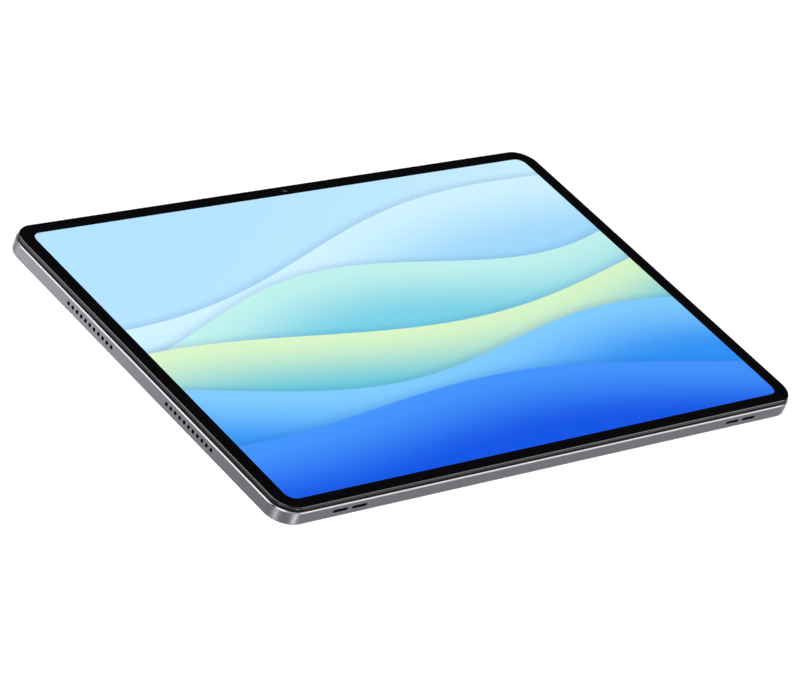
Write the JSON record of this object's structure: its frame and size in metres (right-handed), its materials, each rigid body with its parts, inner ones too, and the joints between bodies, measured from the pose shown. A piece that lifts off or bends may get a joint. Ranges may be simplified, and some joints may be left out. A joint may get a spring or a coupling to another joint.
{
  "type": "tablet computer",
  "caption": "Slim slate tablet with a wide glass screen, a rounded metal back, speaker holes in its edges, push keys and a sliding card tray.",
  "frame": {"origin": "centre of the back face, on the surface that the tablet lies on", "axes": "+X along the long side, +Y towards the edge with the front camera, +Z out of the screen"},
  "size_m": [0.2614, 0.1664, 0.0073],
  "materials": {
    "aluminium": "fine-blasted and anodised, its rim chamfer polished",
    "key_metal": "anodised to match the casing",
    "polished_ring": "turned and polished",
    "surround": "black moulding",
    "cover_glass": "clear, polished, black print round its margin",
    "camera_glass": "clear, polished",
    "display": "lit panel with a black border",
    "light_guide": "clear sheet",
    "sheet_steel": "pressed sheet",
    "foam_tape": "soft foam",
    "camera_body": "black moulding",
    "circuit_board": "lacquered laminate",
    "chip_resin": "moulded resin",
    "graphite": "graphite sheet",
    "ribbon_film": "amber film",
    "battery_pouch": "laminated foil",
    "speaker_box": "black moulding",
    "black_plastic": "black moulding",
    "plated_screw": "plated"
  },
  "bodies": {
    "chassis": {"antenna_bottom_left": "black_plastic", "antenna_top_left": "black_plastic", "backlight_tray": "sheet_steel", "battery_board": "circuit_board", "battery_cell_left": "battery_pouch", "battery_cell_right": "battery_pouch", "battery_flex": "ribbon_film", "board_screw_1": "plated_screw", "board_screw_2": "plated_screw", "board_screw_3": "plated_screw", "board_screw_4": "plated_screw", "card_socket": "sheet_steel", "cover_glass": "cover_glass", "display_flex": "ribbon_film", "display_panel": "display", "display_seal": "foam_tape", "display_surround": "surround", "front_camera": "camera_body", "heat_spreader": "graphite", "light_guide": "light_guide", "main_board": "circuit_board", "memory_chip": "chip_resin", "microphone_left": "sheet_steel", "microphone_right": "sheet_steel", "power_bracket": "sheet_steel", "power_chip": "chip_resin", "power_screw_1": "plated_screw", "power_shield": "sheet_steel", "power_switch": "ribbon_film", "processor": "chip_resin", "processor_shield": "sheet_steel", "radio_chip": "chip_resin", "rear_camera_bezel": "polished_ring", "rear_camera_module": "camera_body", "rear_camera_window": "camera_glass", "rear_housing": "aluminium", "speaker_bottom_left": "speaker_box", "speaker_bottom_right": "speaker_box", "speaker_left_lower": "speaker_box", "speaker_left_upper": "speaker_box", "speaker_right_lower": "speaker_box", "speaker_right_upper": "speaker_box", "speaker_top_left": "speaker_box", "speaker_top_right": "speaker_box", "storage_chip": "chip_resin", "usb_board": "circuit_board", "usb_flex": "ribbon_film", "usb_screw_1": "plated_screw", "usb_screw_2": "plated_screw", "usb_socket_shell": "sheet_steel", "usb_socket_tongue": "black_plastic", "volume_bracket": "sheet_steel", "volume_screw_1": "plated_screw", "volume_screw_2": "plated_screw", "volume_switches": "ribbon_film"},
    "power_key": {"power_button": "key_metal"},
    "volume_key": {"volume_rocker": "key_metal"},
    "card_slide": {"card_tray": "key_metal"}
  },
  "joints": [
    {"name": "power_button_press", "type": "slide", "parent": "chassis", "child": "power_key", "axis": [-1, 0, 0], "range_m": [0, 0.00025], "stiffness_N_per_m": 3000},
    {"name": "volume_rocker_tilt", "type": "hinge", "parent": "chassis", "child": "volume_key", "pos_m": [0.068, 0.08045, 0.00305], "axis": [0, 0, 1], "range_deg": [-1.3, 1.3], "stiffness_Nm_per_rad": 0.3},
    {"name": "card_tray_pull", "type": "slide", "parent": "chassis", "child": "card_slide", "axis": [1, 0, 0], "range_m": [0, 0.021]}
  ]
}
